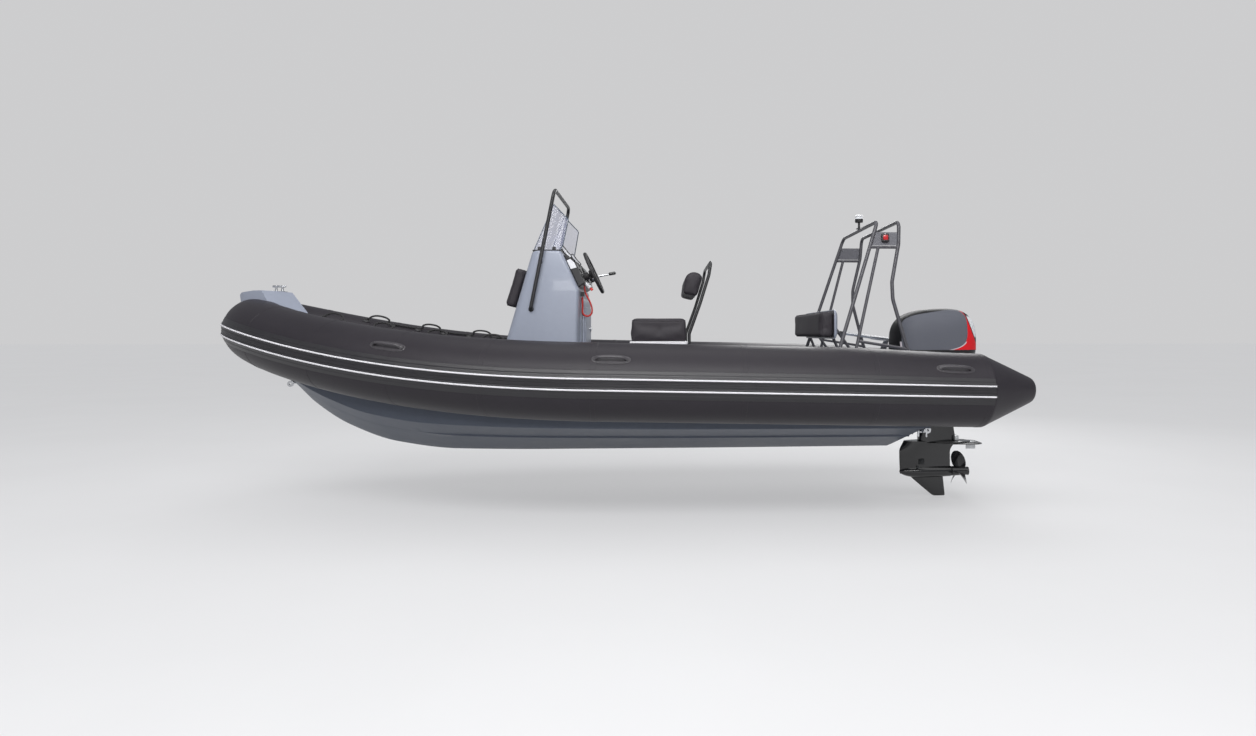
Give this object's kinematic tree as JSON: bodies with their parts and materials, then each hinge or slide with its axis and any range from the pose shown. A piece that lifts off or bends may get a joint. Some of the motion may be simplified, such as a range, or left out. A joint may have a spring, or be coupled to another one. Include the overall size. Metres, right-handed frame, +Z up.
{
  "type": "rigid inflatable boat",
  "caption": "Rigid inflatable boat with charcoal tubes, deep-V hull, centre console, seat lockers, stern arch and a tilting outboard engine.",
  "frame": {"origin": "on the centreline, amidships, at the water plane", "axes": "+X towards the bow, +Y to port, +Z up"},
  "size_m": [6.0582, 2.489, 2.455],
  "materials": {
    "tube_fabric": "charcoal coated fabric, soft sheen",
    "strake_rubber": "black ribbed rubber",
    "stripe_white": "white rubber bead",
    "hull_gelcoat": "blue-grey gelcoat",
    "deck_gelcoat": "light blue-grey gelcoat with non-skid",
    "console_gelcoat": "light blue-grey gelcoat",
    "white_gelcoat": "white gelcoat",
    "screen": "smoky acrylic",
    "black_tube": "black powder-coated tube",
    "arch_grey": "dark grey powder coat",
    "plate_grey": "grey plate",
    "upholstery": "charcoal vinyl",
    "dash_black": "black moulded plastic",
    "stainless": "polished stainless",
    "chrome_black": "black control head",
    "wheel_black": "soft black rim",
    "rope_black": "dark braided rope",
    "lanyard_red": "red coiled plastic cord",
    "handle_rubber": "black moulded rubber",
    "light_red": "red lens",
    "light_green": "green lens",
    "light_white": "white lens",
    "cowl_grey": "grey engine cover",
    "engine_black": "gloss black",
    "engine_block": "plain block",
    "cast_black": "satin black casting"
  },
  "bodies": {
    "boat": {"hull": "hull_gelcoat", "deck": "deck_gelcoat", "transom_well": "deck_gelcoat", "bow_locker": "deck_gelcoat", "bow_platform": "console_gelcoat", "mooring_bitt": "stainless", "tube_bow": "tube_fabric", "tube_port": "tube_fabric", "tube_starboard": "tube_fabric", "tube_cones": "tube_fabric", "rubbing_strake": "strake_rubber", "strake_stripes": "stripe_white", "carry_handles": "handle_rubber", "lifelines": "rope_black", "bow_eye": "stainless", "stern_eyes": "stainless", "console": "console_gelcoat", "windscreen": "screen", "console_rail": "black_tube", "dash_panel": "dash_black", "steering_column": "dash_black", "lanyard_sockets": "dash_black", "stop_lanyard": "lanyard_red", "throttle": "chrome_black", "front_backrest": "upholstery", "front_seat": "console_gelcoat", "helm_seat": "console_gelcoat", "helm_backrest_frame": "black_tube", "helm_bolster": "upholstery", "stern_bench": "console_gelcoat", "stern_backrest": "upholstery", "stern_backrest_frame": "white_gelcoat", "arch_front": "arch_grey", "arch_rear": "arch_grey", "arch_braces": "arch_grey", "light_plates": "plate_grey", "nav_light_port": "light_red", "nav_light_starboard": "light_green", "all_round_light": "light_white", "ladder_bracket": "stainless", "clamp_bracket": "cast_black"},
    "bow_hatch_lid": {"bow_hatch": "white_gelcoat"},
    "front_seat_lid": {"front_cushion": "upholstery"},
    "helm_seat_lid": {"helm_lid": "white_gelcoat", "helm_cushion": "upholstery"},
    "stern_bench_lid": {"stern_cushion": "upholstery"},
    "helm_wheel": {"steering_wheel": "wheel_black"},
    "ladder": {"boarding_ladder": "black_tube"},
    "outboard_tilt": {"swivel_bracket": "cast_black"},
    "outboard": {"midsection": "engine_black", "gearcase": "engine_black", "lower_cowl": "engine_black", "powerhead": "engine_block", "cowl": "cowl_grey"},
    "propeller": {"propeller": "engine_black"}
  },
  "joints": [
    {"name": "bow_hatch_hinge", "type": "hinge", "parent": "boat", "child": "bow_hatch_lid", "pos_m": [2.14, 0, 0.4303], "axis": [0, 1, 0], "range_deg": [0, 85]},
    {"name": "front_seat_hinge", "type": "hinge", "parent": "boat", "child": "front_seat_lid", "pos_m": [1.25, 0, 0.3903], "axis": [0, 1, 0], "range_deg": [0, 85]},
    {"name": "helm_seat_hinge", "type": "hinge", "parent": "boat", "child": "helm_seat_lid", "pos_m": [-0.182, 0, 0.4703], "axis": [0, 1, 0], "range_deg": [0, 85]},
    {"name": "stern_bench_hinge", "type": "hinge", "parent": "boat", "child": "stern_bench_lid", "pos_m": [-1.15, 0, 0.3303], "axis": [0, 1, 0], "range_deg": [0, 85]},
    {"name": "ladder_swing", "type": "hinge", "parent": "boat", "child": "ladder", "pos_m": [-2.472, -0.43, 0.505], "axis": [0, -1, 0], "range_deg": [0, 260]},
    {"name": "engine_tilt", "type": "hinge", "parent": "boat", "child": "outboard_tilt", "pos_m": [-2.405, 0, 0.24], "axis": [0, 1, 0], "range_deg": [-4, 65]},
    {"name": "engine_steer", "type": "hinge", "parent": "outboard_tilt", "child": "outboard", "pos_m": [-2.5, 0, 0], "axis": [0, 0, 1], "range_deg": [-30, 30]},
    {"name": "propeller_spin", "type": "hinge", "parent": "outboard", "child": "propeller", "pos_m": [-2.9, 0, -0.586], "axis": [1, 0, 0], "continuous": true},
    {"name": "helm_turn", "type": "hinge", "parent": "boat", "child": "helm_wheel", "pos_m": [0.112, 0.12, 1.044], "axis": [-0.9085, 0, 0.4179], "range_deg": [-630, 630]}
  ],
  "couplings": [
    {"joint": "helm_turn", "follows": "engine_steer", "ratio": -21}
  ]
}
